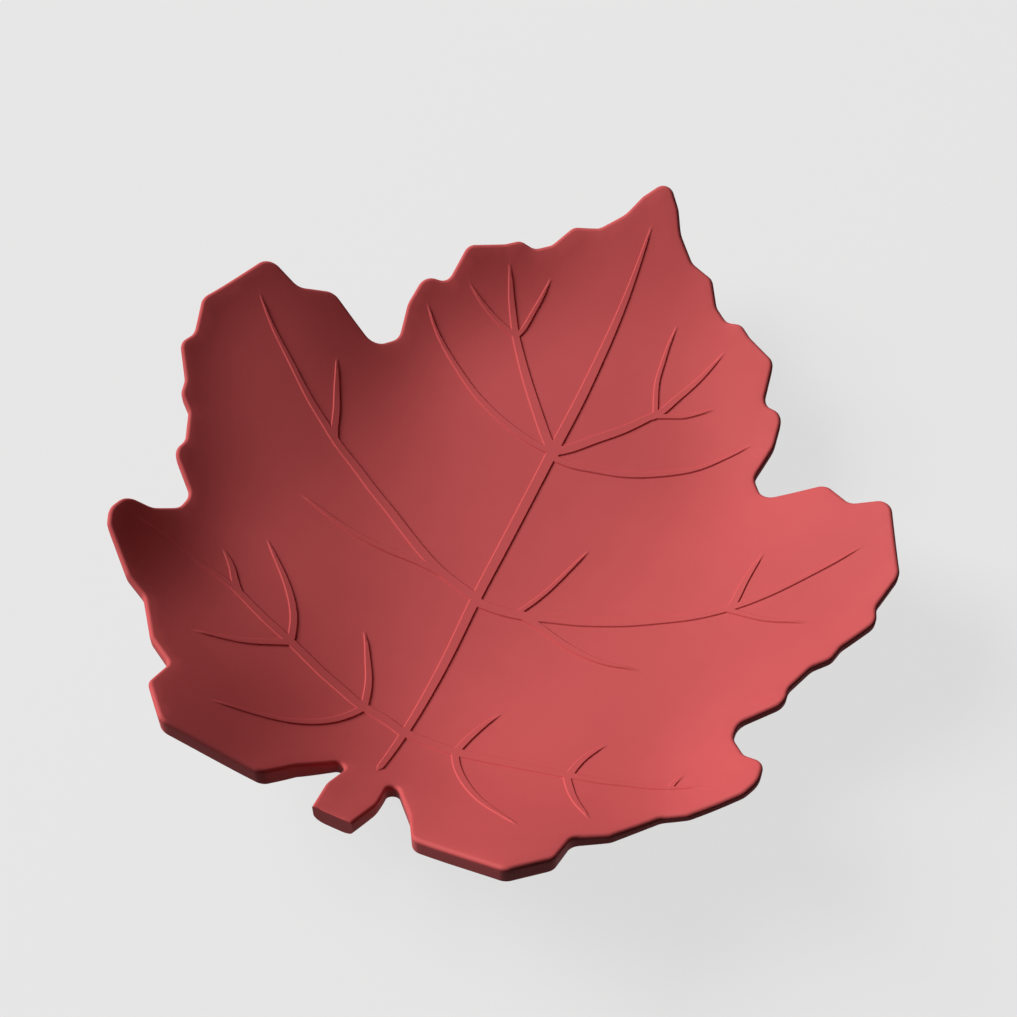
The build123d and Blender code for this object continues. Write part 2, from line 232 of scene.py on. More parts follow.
def corner_arc(before, corner, after, radius):
    """Points of the arc tangent to both runs, made smaller where a run is too short for it.

    Its centre lies on the bisector, at radius / sin(half the angle between the runs).
    """
    back_length = np.linalg.norm(before - corner)
    ahead_length = np.linalg.norm(after - corner)
    back = (before - corner) / back_length
    ahead = (after - corner) / ahead_length
    half = np.arccos(np.clip(back @ ahead, -1, 1)) / 2
    room = CORNER_LIMIT_SHARE * min(back_length, ahead_length)
    setback = min(radius / tan(half), room)
    fitted = setback * tan(half)
    bisector = (back + ahead) / np.linalg.norm(back + ahead)
    centre = corner + bisector * (setback / cos(half))
    start = corner + back * setback - centre
    end = corner + ahead * setback - centre
    turn = np.arctan2(start[0] * end[1] - start[1] * end[0], start @ end)
    count = max(LEAST_POINTS, int(np.ceil(abs(turn) * fitted / ARC_SPACING)) + 1)
    angles = np.arctan2(start[1], start[0]) + np.linspace(0, turn, count)
    return centre + fitted * np.stack([np.cos(angles), np.sin(angles)], axis=1)


def straight_run(start, end, margin):
    """Evenly spaced points strictly between two ends, kept a margin away from both."""
    length = np.linalg.norm(end - start)
    inner = length - 2 * margin
    count = max(1, int(np.ceil(inner / RUN_SPACING)))
    steps = np.arange(count + 1) if margin else np.arange(1, count)
    ways = (margin + inner * steps / count) / length
    return start + ways[:, None] * (end - start)


def sample_outline():
    """The whole outline as one closed run of points, with the rounding of the upper rim at each.

    The stem's two cut corners have no arc, so the run between two such corners is the cut.
    """
    half = [(x * HALF_WIDTH, y * HALF_LENGTH, radius) for x, y, radius in OUTLINE_SHARES]
    half.append((STEM_HALF_WIDTH_SHARE * HALF_WIDTH, STEM_END_SHARE * HALF_LENGTH, 0))
    mirrored = [(-x, y, radius) for x, y, radius in half[::-1]]
    corners = [(0, TIP_SHARE * HALF_LENGTH, SOFT_CORNER)] + half + mirrored
    places = np.array([corner[:2] for corner in corners])
    arcs = []
    for i, (_, _, radius) in enumerate(corners):
        after = places[(i + 1) % len(places)]
        rounded = corner_arc(places[i - 1], places[i], after, radius) if radius else places[i:i + 1]
        arcs.append(rounded)
    points = []
    rounds = []
    for i, arc in enumerate(arcs):
        following = arcs[(i + 1) % len(arcs)]
        is_cut = len(arc) == 1 and len(following) == 1
        run = straight_run(arc[-1], following[0], STEM_CUT_MARGIN if is_cut else 0.0)
        points += [arc, run]
        rounds += [np.full(len(arc), TOP_ROUND)]
        rounds += [np.full(len(run), STEM_CUT_ROUND if is_cut else TOP_ROUND)]
    return np.concatenate(points), np.concatenate(rounds)


outline, rim_round = sample_outline()
print("outline points:", len(outline))

# %% [markdown]
# ## Rounded rims all the way round
# The wall of the leaf is upright, and the face slopes, so the rim's rounding is a
# rolling ball that touches both. Its touching arc is worked out once as a profile with
# one row for each step of the arc, and carried round the whole outline as an array.

# %% Profiles of the rims
STEM_UNDER_ROUND = 2.8 * MM
STEM_ROUND_START_SHARE = 0.86
STEM_ROUND_END_SHARE = 0.94
STEM_SIDE_SHARE = 0.12
SLOPE_STEP = 0.8 * MM
TOP_ROWS = 7
UNDER_ROWS = 8
CUT_CORNER_TURN = radians(60)


def inward_normals(points):
    """Unit normals into a closed clockwise outline, and the unit runs between its points.

    A normal is the mean of the runs before and after its point, turned a quarter right.
    """
    step = np.roll(points, -1, axis=0) - points
    step /= np.linalg.norm(step, axis=1, keepdims=True)
    mean = step + np.roll(step, 1, axis=0)
    mean /= np.linalg.norm(mean, axis=1, keepdims=True)
    return np.stack([mean[:, 1], -mean[:, 0]], axis=1), step


def rolling_ball_rows(points, normals, height, radius, rows, upper):
    """Arc of a ball that touches the upright wall and a sloping face, as insets and heights.

    The inset is r + r cos a and the height is the ball's middle + r sin a. The angle a
    goes from the wall, half a turn, to where the ball touches the face.
    """
    start = height(points[:, 0], points[:, 1])
    inner = points + normals * SLOPE_STEP
    fall = (start - height(inner[:, 0], inner[:, 1])) / SLOPE_STEP
    lean = np.hypot(1, fall)
    side = 1 if upper else -1
    centre = start - fall * radius - side * radius * lean
    last = np.arctan2(side / lean, side * fall / lean)
    first = np.where(side > 0, pi, -pi)
    way = np.linspace(0, 1, rows)[:, None]
    angle = first + way * (last - first)
    inset = radius * (1 + np.cos(angle))
    heights = centre + radius * np.sin(angle)
    return inset, heights


def rim_rings(points, normals, height, radius, rows, upper):
    """The ball's arc carried round the outline, eased so that its last row lies on the face."""
    inset, heights = rolling_ball_rows(points, normals, height, radius, rows, upper)
    plan = points[None] + normals[None] * inset[..., None]
    wanted = height(plan[-1, :, 0], plan[-1, :, 1])
    way = np.linspace(0, 1, rows)[:, None]
    heights = heights + way ** 2 * (wanted - heights[-1])
    return np.concatenate([plan, heights[..., None]], axis=2)


def under_round(points):
    """Lower rounding: the rim's, plus a smooth step to the stem's fuller one near its end."""
    down = -points[:, 1] / HALF_LENGTH
    span = STEM_ROUND_END_SHARE - STEM_ROUND_START_SHARE
    way = np.clip((down - STEM_ROUND_START_SHARE) / span, 0, 1)
    way = way * (np.abs(points[:, 0]) < STEM_SIDE_SHARE * HALF_WIDTH)
    return UNDER_ROUND + smooth_step(STEM_UNDER_ROUND - UNDER_ROUND, way)


normals, runs = inward_normals(outline)
turn_cosines = np.sum(runs * np.roll(runs, 1, axis=0), axis=1)
cut_corners = np.flatnonzero(turn_cosines < cos(CUT_CORNER_TURN))
print("sharp corners at the stem's cut end:", len(cut_corners))


# %% Rings of the upper and lower rim
def flat_end(rings, first, last):
    """The cut end kept flat: its points hold their y, and each row is straight between its ends.

    The last row's heights are eased back onto the underside, as in rim_rings.
    """
    x, y = outline[first:last + 1].T
    way = ((x - x[0]) / (x[-1] - x[0]))[:, None]
    rings[:, first:last + 1] = rings[:, first, None] * (1 - way) + rings[:, last, None] * way
    rings[:, first:last + 1, 1] = y
    wanted = under_height(rings[-1, first:last + 1, 0], y)
    ease = np.linspace(0, 1, len(rings))[:, None] ** 2
    rings[:, first:last + 1, 2] += ease * (wanted - rings[-1, first:last + 1, 2])
    return rings


# At the cut end's corners the rim moves along the cut, square to the stem's side
for i in cut_corners:
    before, after = runs[i - 1], runs[i]
    side_run = before if abs(before[1]) > abs(after[1]) else after
    normals[i] = (side_run[1], -side_run[0])
top_rings = rim_rings(outline, normals, face_height, rim_round, TOP_ROWS, True)
under_rings = rim_rings(outline, normals, under_height, under_round(outline), UNDER_ROWS, False)
under_rings = flat_end(under_rings, *cut_corners)
print("upper rim rings", top_rings.shape, "lower rim rings", under_rings.shape)

# %% [markdown]
# ## Raised veins
# The veins are low bands with flat tops that taper to a point. Modelling each as its
# own strip would leave seams where they join. Here they are a relief added to the
# face's height instead. It depends only on how far a point is from each vein's middle
# line, and the highest vein wins, so branches flow into each other.

# %% Vein sizes and runs
VEIN_HEIGHT = 0.3 * MM
VEIN_SLOPE = 0.11 * MM
VEIN_SUPPORT = 0.18 * MM
MIDDLE_VEIN_WIDTH = 2.1 * MM
MAIN_VEIN_WIDTH = 1.9 * MM
BRANCH_VEIN_WIDTH = 1.4 * MM
FINE_VEIN_WIDTH = 1.0 * MM
VEIN_TIP_WIDTH = 0.35 * MM
VEIN_STEM_WIDTH = 1.2 * MM
VEIN_TAPER_POWER = 2.5
VEIN_SPACING = 0.8 * MM
VEIN_FADE = 3.0 * MM

# Each vein: its width at the root and at the tip, and its run in half widths and half lengths
VEIN_SHARES = [
    # Middle vein, up to the leaf's tip and down to the stem
    (MIDDLE_VEIN_WIDTH, VEIN_TIP_WIDTH, [
        (-0.008, 0.252), (-0.007, 0.304), (-0.004, 0.430), (-0.004, 0.580),
        (-0.001, 0.719), (0.000, 0.811), (-0.001, 0.904)]),
    (MIDDLE_VEIN_WIDTH, VEIN_STEM_WIDTH, [
        (-0.007, 0.304), (-0.008, 0.181), (-0.008, -0.050), (-0.006, -0.229), (0.001, -0.373),
        (0.003, -0.503), (0.005, -0.647), (0.010, -0.786)]),
    # Right side of the tip lobe
    (MAIN_VEIN_WIDTH, BRANCH_VEIN_WIDTH, [
        (-0.007, 0.276), (0.029, 0.302), (0.083, 0.355), (0.138, 0.408), (0.178, 0.454),
        (0.208, 0.490)]),
    (FINE_VEIN_WIDTH, VEIN_TIP_WIDTH, [
        (0.206, 0.488), (0.184, 0.541), (0.173, 0.573), (0.166, 0.624), (0.162, 0.673),
        (0.164, 0.723)]),
    (BRANCH_VEIN_WIDTH, VEIN_TIP_WIDTH, [
        (0.203, 0.479), (0.219, 0.501), (0.240, 0.542), (0.277, 0.606), (0.296, 0.642),
        (0.320, 0.689)]),
    (FINE_VEIN_WIDTH, VEIN_TIP_WIDTH, [
        (0.203, 0.480), (0.248, 0.497), (0.283, 0.509), (0.310, 0.524), (0.336, 0.539),
        (0.353, 0.550)]),
    (BRANCH_VEIN_WIDTH, VEIN_TIP_WIDTH, [
        (-0.008, 0.262), (0.059, 0.262), (0.119, 0.273), (0.188, 0.288), (0.256, 0.313),
        (0.311, 0.340), (0.359, 0.367), (0.400, 0.397), (0.435, 0.428), (0.464, 0.453),
        (0.492, 0.480)]),
    # Left side of the tip lobe
    (MAIN_VEIN_WIDTH, BRANCH_VEIN_WIDTH, [
        (-0.001, 0.271), (-0.031, 0.299), (-0.093, 0.365), (-0.157, 0.437), (-0.203, 0.492),
        (-0.254, 0.556)]),
    (FINE_VEIN_WIDTH, VEIN_TIP_WIDTH, [
        (-0.249, 0.544), (-0.238, 0.568), (-0.231, 0.613), (-0.224, 0.662), (-0.219, 0.717)]),
    (BRANCH_VEIN_WIDTH, VEIN_TIP_WIDTH, [
        (-0.247, 0.547), (-0.259, 0.565), (-0.281, 0.599), (-0.302, 0.633), (-0.320, 0.666),
        (-0.339, 0.699)]),
    (FINE_VEIN_WIDTH, VEIN_TIP_WIDTH, [
        (-0.247, 0.547), (-0.263, 0.552), (-0.301, 0.561), (-0.341, 0.574), (-0.380, 0.590),
        (-0.421, 0.611)]),
    (BRANCH_VEIN_WIDTH, VEIN_TIP_WIDTH, [
        (-0.001, 0.275), (-0.036, 0.277), (-0.092, 0.285), (-0.158, 0.302), (-0.222, 0.325),
        (-0.287, 0.356), (-0.350, 0.394), (-0.411, 0.433), (-0.461, 0.471), (-0.503, 0.512)]),
    # Right side lobe
    (MAIN_VEIN_WIDTH, VEIN_TIP_WIDTH, [
        (-0.007, -0.215), (0.059, -0.213), (0.130, -0.202), (0.205, -0.181), (0.260, -0.167),
        (0.331, -0.144), (0.401, -0.118), (0.471, -0.087), (0.536, -0.058), (0.600, -0.023),
        (0.655, 0.014), (0.715, 0.062), (0.758, 0.102), (0.800, 0.143), (0.841, 0.183),
        (0.889, 0.234)]),
    (BRANCH_VEIN_WIDTH, VEIN_TIP_WIDTH, [
        (0.632, -0.002), (0.635, 0.018), (0.637, 0.068), (0.643, 0.123), (0.652, 0.172)]),
    (FINE_VEIN_WIDTH, VEIN_TIP_WIDTH, [
        (0.618, -0.010), (0.663, -0.011), (0.712, -0.013), (0.761, -0.009), (0.803, -0.002),
        (0.838, 0.002)]),
    (BRANCH_VEIN_WIDTH, VEIN_TIP_WIDTH, [
        (0.120, -0.204), (0.177, -0.213), (0.223, -0.227), (0.283, -0.243), (0.346, -0.253),
        (0.400, -0.255), (0.442, -0.250), (0.480, -0.248)]),
    (FINE_VEIN_WIDTH, VEIN_TIP_WIDTH, [
        (0.110, -0.205), (0.148, -0.130), (0.180, -0.040), (0.208, 0.045)]),
    # Left side lobe
    (MAIN_VEIN_WIDTH, VEIN_TIP_WIDTH, [
        (-0.005, -0.205), (-0.080, -0.187), (-0.140, -0.169), (-0.200, -0.142), (-0.260, -0.111),
        (-0.329, -0.074), (-0.399, -0.040), (-0.469, -0.004), (-0.539, 0.029), (-0.599, 0.064),
        (-0.644, 0.090), (-0.700, 0.128), (-0.757, 0.168), (-0.819, 0.211), (-0.889, 0.270)]),
    (BRANCH_VEIN_WIDTH, VEIN_TIP_WIDTH, [
        (-0.551, 0.038), (-0.562, 0.060), (-0.579, 0.104), (-0.602, 0.152), (-0.622, 0.193),
        (-0.646, 0.240)]),
    (BRANCH_VEIN_WIDTH, VEIN_TIP_WIDTH, [
        (-0.105, -0.180), (-0.160, -0.176), (-0.210, -0.176), (-0.270, -0.181), (-0.349, -0.183),
        (-0.419, -0.178), (-0.479, -0.168), (-0.550, -0.156)]),
    # Lower left lobe
    (MAIN_VEIN_WIDTH, VEIN_TIP_WIDTH, [
        (-0.000, -0.650), (-0.064, -0.634), (-0.137, -0.626), (-0.192, -0.611), (-0.257, -0.593),
        (-0.319, -0.572), (-0.394, -0.548), (-0.445, -0.534), (-0.503, -0.514), (-0.581, -0.488),
        (-0.643, -0.480), (-0.713, -0.473), (-0.780, -0.472), (-0.845, -0.475)]),
    (BRANCH_VEIN_WIDTH, VEIN_TIP_WIDTH, [
        (-0.372, -0.553), (-0.389, -0.506), (-0.409, -0.469), (-0.445, -0.424), (-0.484, -0.386),
        (-0.524, -0.353), (-0.564, -0.320)]),
    (BRANCH_VEIN_WIDTH, VEIN_TIP_WIDTH, [
        (-0.550, -0.498), (-0.576, -0.472), (-0.595, -0.449), (-0.621, -0.424), (-0.648, -0.405)]),
    (BRANCH_VEIN_WIDTH, VEIN_TIP_WIDTH, [
        (-0.368, -0.556), (-0.412, -0.587), (-0.453, -0.617), (-0.500, -0.644), (-0.548, -0.667),
        (-0.575, -0.680)]),
    (BRANCH_VEIN_WIDTH, VEIN_TIP_WIDTH, [
        (-0.122, -0.627), (-0.138, -0.576), (-0.158, -0.532), (-0.182, -0.492), (-0.205, -0.454),
        (-0.227, -0.425)]),
    (BRANCH_VEIN_WIDTH, VEIN_TIP_WIDTH, [
        (-0.120, -0.629), (-0.143, -0.676), (-0.169, -0.715), (-0.202, -0.750), (-0.240, -0.780),
        (-0.285, -0.806), (-0.337, -0.830), (-0.387, -0.851), (-0.412, -0.861)]),
    # Lower right lobe
    (MAIN_VEIN_WIDTH, VEIN_TIP_WIDTH, [
        (0.001, -0.649), (0.073, -0.647), (0.144, -0.646), (0.239, -0.635), (0.304, -0.627),
        (0.369, -0.619), (0.432, -0.612), (0.496, -0.604), (0.545, -0.595), (0.602, -0.583),
        (0.650, -0.575), (0.700, -0.563), (0.740, -0.552), (0.781, -0.541)]),
    (BRANCH_VEIN_WIDTH, VEIN_TIP_WIDTH, [
        (0.150, -0.645), (0.160, -0.590), (0.172, -0.552), (0.186, -0.520), (0.204, -0.489)]),
    (BRANCH_VEIN_WIDTH, VEIN_TIP_WIDTH, [
        (0.146, -0.643), (0.175, -0.689), (0.208, -0.724), (0.250, -0.758), (0.299, -0.787),
        (0.355, -0.811), (0.413, -0.834)]),
    (BRANCH_VEIN_WIDTH, VEIN_TIP_WIDTH, [
        (0.449, -0.611), (0.457, -0.553), (0.472, -0.518), (0.496, -0.481)]),
    (BRANCH_VEIN_WIDTH, VEIN_TIP_WIDTH, [
        (0.441, -0.609), (0.473, -0.656), (0.506, -0.693), (0.541, -0.722), (0.560, -0.740)]),
    (FINE_VEIN_WIDTH, VEIN_TIP_WIDTH, [
        (0.700, -0.564), (0.704, -0.540), (0.717, -0.510)]),
]
print("veins:", len(VEIN_SHARES))


# %% Smooth runs of the veins
def smooth_run(points, spacing):
    """Natural cubic spline through points, by chord length, and the share of it behind each point.

    Its bends, the second derivatives at the given points, solve a three-band linear system.
    """
    chord = np.linalg.norm(np.diff(points, axis=0), axis=1)
    knots = np.concatenate([[0], np.cumsum(chord)])
    count = len(points)
    system = np.eye(count)
    known = np.zeros((count, 2))
    inner = np.arange(1, count - 1)
    system[inner, inner - 1] = chord[:-1]
    system[inner, inner] = 2 * (chord[:-1] + chord[1:])
    system[inner, inner + 1] = chord[1:]
    slopes = np.diff(points, axis=0) / chord[:, None]
    known[1:-1] = 6 * np.diff(slopes, axis=0)
    bend = np.linalg.solve(system, known)
    samples = max(LEAST_POINTS, int(np.ceil(knots[-1] / spacing)) + 1)
    at = np.linspace(0, knots[-1], samples)
    k = np.clip(np.searchsorted(knots, at, side="right") - 1, 0, count - 2)
    left = (knots[k + 1] - at)[:, None]
    right = (at - knots[k])[:, None]
    h = chord[k][:, None]
    from_left = (points[k] / h - bend[k] * h / 6) * left
    from_right = (points[k + 1] / h - bend[k + 1] * h / 6) * right
    curve = (bend[k] * left ** 3 + bend[k + 1] * right ** 3) / (6 * h)
    curve += from_left + from_right
    return curve, at / knots[-1]


def vein_line(root_width, tip_width, run_shares):
    """Middle line of a vein with its half width and height at each point.

    The width tapers as 1 - way^power. Over its last few millimetres a pointed vein also
    sinks into the face, by a quarter turn of a sine.
    """
    line, way = smooth_run(np.array(run_shares) * (HALF_WIDTH, HALF_LENGTH), VEIN_SPACING)
    half = (tip_width + (root_width - tip_width) * (1 - way ** VEIN_TAPER_POWER)) / 2
    length = np.sum(np.linalg.norm(np.diff(line, axis=0), axis=1))
    left = np.clip((1 - way) * length / VEIN_FADE, 0, 1)
    sinking = np.sin(left * pi / 2) if tip_width == VEIN_TIP_WIDTH else np.ones(len(line))
    return line, half, VEIN_HEIGHT * sinking


vein_lines = [vein_line(*vein) for vein in VEIN_SHARES]
print("points along the veins:", sum(len(line) for line, _, _ in vein_lines))


# %% The relief that the veins add
def distance_to_line(points, line, values):
    """Least distance from each point to an open run of segments, and the values there."""
    start, step = line[:-1], np.diff(line, axis=0)
    length2 = np.sum(step * step, axis=1)
    offset = points[:, None] - start[None]
    way = np.clip(np.sum(offset * step[None], axis=2) / length2, 0, 1)
    gap = np.linalg.norm(offset - way[..., None] * step[None], axis=2)
    nearest = np.argmin(gap, axis=1)
    rows = np.arange(len(points))
    share = way[rows, nearest]
    return gap[rows, nearest], [v[nearest] * (1 - share) + v[nearest + 1] * share for v in values]


def vein_relief(points):
    """Height of the veins: a smooth step across each band's side, and the highest vein wins."""
    relief = np.zeros(len(points))
    for line, half, height in vein_lines:
        low = line.min(axis=0) - MIDDLE_VEIN_WIDTH
        high = line.max(axis=0) + MIDDLE_VEIN_WIDTH
        near = np.flatnonzero(np.all((points > low) & (points < high), axis=1))
        gap, (half_there, height_there) = distance_to_line(points[near], line, (half, height))
        way = np.clip((half_there + VEIN_SLOPE - gap) / (2 * VEIN_SLOPE), 0, 1)
        relief[near] = np.maximum(relief[near], smooth_step(height_there, way))
    return relief


def vein_edges():
    """Runs of plan points on both sides of each vein.

    They lie at the top of its side, halfway down, at its foot, and just clear of it.
    """
    edges = []
    for line, half, _ in vein_lines:
        along = np.gradient(line, axis=0)
        along /= np.linalg.norm(along, axis=1, keepdims=True)
        across = np.stack([-along[:, 1], along[:, 0]], axis=1)
        for reach in (-VEIN_SLOPE, 0.0, VEIN_SLOPE, VEIN_SLOPE + VEIN_SUPPORT):
            offset = np.maximum(half + reach, 0)[:, None]
            edges += [line + across * offset, line - across * offset]
    return edges


edge_runs = vein_edges()
print("vein edge runs:", len(edge_runs))

# %% [markdown]
# ## Filling the face between the rim and the veins
# The face is filled with triangles whose corners lie on the rim's last ring, on the
# veins' edges and on an even grid in between. A constrained Delaunay triangulation
# keeps every given edge, which is what makes the veins' edges crisp.

# %% Plan triangulation
TOP_GRID = 1.7 * MM
UNDER_GRID = 2.6 * MM
GRID_ROW_SHARE = 0.866
GRID_CLEARANCE_SHARE = 0.55
RAY_CHUNK = 4000
DISTANCE_CHUNK = 1000
SAME_PLACE = 0.002 * MM
KEEP_INSIDE_EDGES = 1
PLAN_TOLERANCE_IN_MM = 1e-5


def chunks(count, size):
    """Indices of count points in chunks of about a given size, which keeps the arrays small."""
    return np.array_split(np.arange(count), max(1, count // size))


def inside_outline(points, ring):
    """True where a ray to the right crosses the closed ring an odd number of times."""
    x0, y0 = ring[:, 0], ring[:, 1]
    x1, y1 = np.roll(x0, -1), np.roll(y0, -1)
    inside = np.zeros(len(points), bool)
    for part in chunks(len(points), RAY_CHUNK):
        px, py = points[part, 0][:, None], points[part, 1][:, None]
        spans = (y0 > py) != (y1 > py)
        with np.errstate(divide="ignore", invalid="ignore"):
            cross = x0 + (py - y0) * (x1 - x0) / (y1 - y0)
        inside[part] = np.sum(spans & (px < cross), axis=1) % 2 == 1
    return inside


def near_any(points, others, reach):
    """True where a point lies within reach of any of the others."""
    near = np.zeros(len(points), bool)
    for part in chunks(len(points), DISTANCE_CHUNK):
        gap = np.linalg.norm(points[part][:, None] - others[None], axis=2)
        near[part] = gap.min(axis=1) < reach
    return near


def grid_inside(ring, holes, runs_inside, spacing):
    """A staggered grid of points inside a ring, outside its holes and clear of every run."""
    low, high = ring.min(axis=0), ring.max(axis=0)
    xs = np.arange(low[0], high[0], spacing)
    ys = np.arange(low[1], high[1], spacing * GRID_ROW_SHARE)
    grid = np.stack(np.meshgrid(xs, ys), axis=2)
    grid[1::2, :, 0] += spacing / 2
    grid = grid.reshape(-1, 2)
    grid = grid[inside_outline(grid, ring)]
    for hole in holes:
        grid = grid[~inside_outline(grid, hole)]
    blockers = np.concatenate([ring, *holes, *runs_inside])
    return grid[~near_any(grid, blockers, spacing * GRID_CLEARANCE_SHARE)]


def fill_plan(ring, holes, runs_inside, spacing):
    """Plan points and triangles that fill a ring outside its holes.

    The ring, the holes and every run stay as edges, and a given point stays where it is.
    """
    loops = [ring, *holes]
    edges = []
    first = 0
    for number, run in enumerate([*loops, *runs_inside]):
        index = first + np.arange(len(run))
        ends = np.roll(index, -1) if number < len(loops) else index[1:]
        edges += list(zip(index[:len(ends)].tolist(), ends.tolist()))
        first += len(run)
    grid = grid_inside(ring, holes, runs_inside, spacing)
    flat = np.concatenate([*loops, *runs_inside, grid])
    scaled = [Vector(p) for p in (flat / MM).tolist()]
    verts, _, faces, given, _, _ = delaunay_2d_cdt(
        scaled, edges, [], KEEP_INSIDE_EDGES, PLAN_TOLERANCE_IN_MM)
    plan = np.array([tuple(v) for v in verts]) * MM
    for i, inputs in enumerate(given):
        if inputs:
            plan[i] = flat[min(inputs)]
    triangles = np.array(faces)
    centre = plan[triangles].mean(axis=1)
    keep = np.full(len(triangles), True)
    for hole in holes:
        keep &= ~inside_outline(centre, hole)
    return plan, triangles[keep]


top_ring = top_rings[-1, :, :2]
top_plan, top_triangles = fill_plan(top_ring, [], edge_runs, TOP_GRID)
on_rim = near_any(top_plan, top_ring, SAME_PLACE)
top_relief = np.where(on_rim, 0, vein_relief(top_plan))
top_height = face_height(top_plan[:, 0], top_plan[:, 1]) + top_relief
print("upper face:", len(top_plan), "points,", len(top_triangles), "triangles")

# %% [markdown]
# ## The underside, its land and the pads' seats
# Nobody sees the underside until they pick the dish up, and then it should make sense:
# a flat round land that was ground level, and a shallow round seat for each pad. Circles
# are arrays too. A row of circles that shrink or sink gives a wall, and its last circle
# becomes the edge or the hole of the next filled area.

# %% Circles and turned rows
CIRCLE_STEPS = 120
SEAT_STEPS = 48
LAND_HOLLOW_ROUND = 0.8 * MM
SEAT_EDGE_ROUND = 0.15 * MM
ARC_ROWS = 6
FIRST_PAD_TURN = radians(90)


def circle(radius, centre, steps):
    """Clockwise circle in plan: centre + radius * (sin a, cos a)."""
    angle = np.linspace(0, 2 * pi, steps, endpoint=False)
    return np.array(centre) + radius * np.stack([np.sin(angle), np.cos(angle)], axis=1)


def turned_rows(radii, heights, centre, steps):
    """Circles of the given radii at the given heights, as rows of one turned surface."""
    unit = circle(1.0, (0, 0), steps)
    plan = np.array(centre) + np.asarray(radii)[:, None, None] * unit[None]
    level = np.broadcast_to(np.asarray(heights)[:, None, None], (*plan.shape[:2], 1))
    return np.concatenate([plan, level], axis=2)


def quarter_arc(rows):
    """(1 - cos a, sin a) over a quarter turn: how far an edge has come in, and how far up."""
    angle = np.linspace(0, pi / 2, rows)
    return 1 - np.cos(angle), np.sin(angle)


come_in, come_up = quarter_arc(ARC_ROWS)
land_radius = LAND_DIAMETER / 2
land_top = float(under_height(land_radius + LAND_HOLLOW_ROUND, 0))
hollow_radii = land_radius + LAND_HOLLOW_ROUND * (1 - come_up)
edge_radii = land_radius - LAND_ROUND * come_in
land_radii = np.concatenate([hollow_radii, edge_radii])
hollow_heights = land_top - LAND_HOLLOW_ROUND * come_in
edge_heights = land_low + LAND_ROUND * (1 - come_up)
land_heights = np.concatenate([hollow_heights, edge_heights])
land_rows = turned_rows(land_radii, land_heights, (0, 0), CIRCLE_STEPS)
# The first row lies on the sloping underside, and the others are stretched to follow it
stretch = (under_height(*land_rows[0, :, :2].T) - land_low) / (land_top - land_low)
land_rows[..., 2] = land_low + (land_rows[..., 2] - land_low) * stretch
seat_radius = PAD_DIAMETER / 2 + PAD_SEAT_CLEARANCE
seat_radii = np.append(seat_radius + SEAT_EDGE_ROUND * (1 - come_up), seat_radius)
seat_heights = np.append(land_low + SEAT_EDGE_ROUND * come_in, seat_roof)
pad_turns = FIRST_PAD_TURN + 2 * pi * np.arange(PAD_COUNT) / PAD_COUNT
pad_places = PAD_CIRCLE_DIAMETER / 2 * np.stack([np.cos(pad_turns), np.sin(pad_turns)], axis=1)
seat_rows = [turned_rows(seat_radii, seat_heights, place, SEAT_STEPS) for place in pad_places]
print("land rows", land_rows.shape, "seats", len(seat_rows))

# %% Flat and curved areas of the underside
under_ring = under_rings[-1, :, :2]
under_plan, under_triangles = fill_plan(under_ring, [land_rows[0, :, :2]], [], UNDER_GRID)
seat_edges = [rows[0, :, :2] for rows in seat_rows]
land_plan, land_triangles = fill_plan(land_rows[-1, :, :2], seat_edges, [], UNDER_GRID)
roof_fills = [fill_plan(rows[-1, :, :2], [], [], UNDER_GRID) for rows in seat_rows]
print("underside triangles:", len(under_triangles) + len(land_triangles))

# %% [markdown]
# ## One closed mesh
# Every area so far is its own patch. Patches that share a ring share its points, so
# merging equal points closes the whole dish into one watertight skin with its faces
# turned outwards, as a cast piece has.

# %% Join the patches
MERGE_STEP = 1e-4 * MM
WALL_ROWS = 3


def ring_quads(rows, columns, outward):
    """Quads of a closed band of rows, wound so that the solid lies behind them."""
    k, j = np.meshgrid(np.arange(rows - 1), np.arange(columns), indexing="ij")
    after = (j + 1) % columns
    here, above = k * columns, (k + 1) * columns
    quads = np.stack([here + j, above + j, above + after, here + after], axis=2).reshape(-1, 4)
    return quads if outward else quads[:, ::-1]


def facing(plan, triangles, up):
    """Triangles turned to face up or down, by the sign of their area in plan."""
    a, b, c = (plan[triangles[:, i]] for i in range(3))
    area = (b[:, 0] - a[:, 0]) * (c[:, 1] - a[:, 1]) - (b[:, 1] - a[:, 1]) * (c[:, 0] - a[:, 0])
    return np.where(((area > 0) == up)[:, None], triangles, triangles[:, ::-1])


def lifted(plan, height):
    """Plan points with a height added to each."""
    return np.concatenate([plan, np.broadcast_to(height, len(plan))[:, None]], axis=1)


def joined_mesh(name, patches):
    """One mesh from (points, faces) patches: points that round to the same merge step are one."""
    points = np.concatenate([p.reshape(-1, 3) for p, _ in patches])
    keys = np.round(points / MERGE_STEP).astype(np.int64)
    _, first, index = np.unique(keys, axis=0, return_index=True, return_inverse=True)
    index = index.reshape(-1)
    faces = []
    start = 0
    for patch, patch_faces in patches:
        faces += index[np.asarray(patch_faces) + start].tolist()
        start += patch.reshape(-1, 3).shape[0]
    faces = [list(dict.fromkeys(face)) for face in faces]
    mesh = bpy.data.meshes.new(name)
    mesh.from_pydata(points[first].tolist(), [], [face for face in faces if len(face) > 2])
    mesh.update()
    mesh.shade_smooth()
    piece = bpy.data.objects.new(name, mesh)
    bpy.context.collection.objects.link(piece)
    return piece


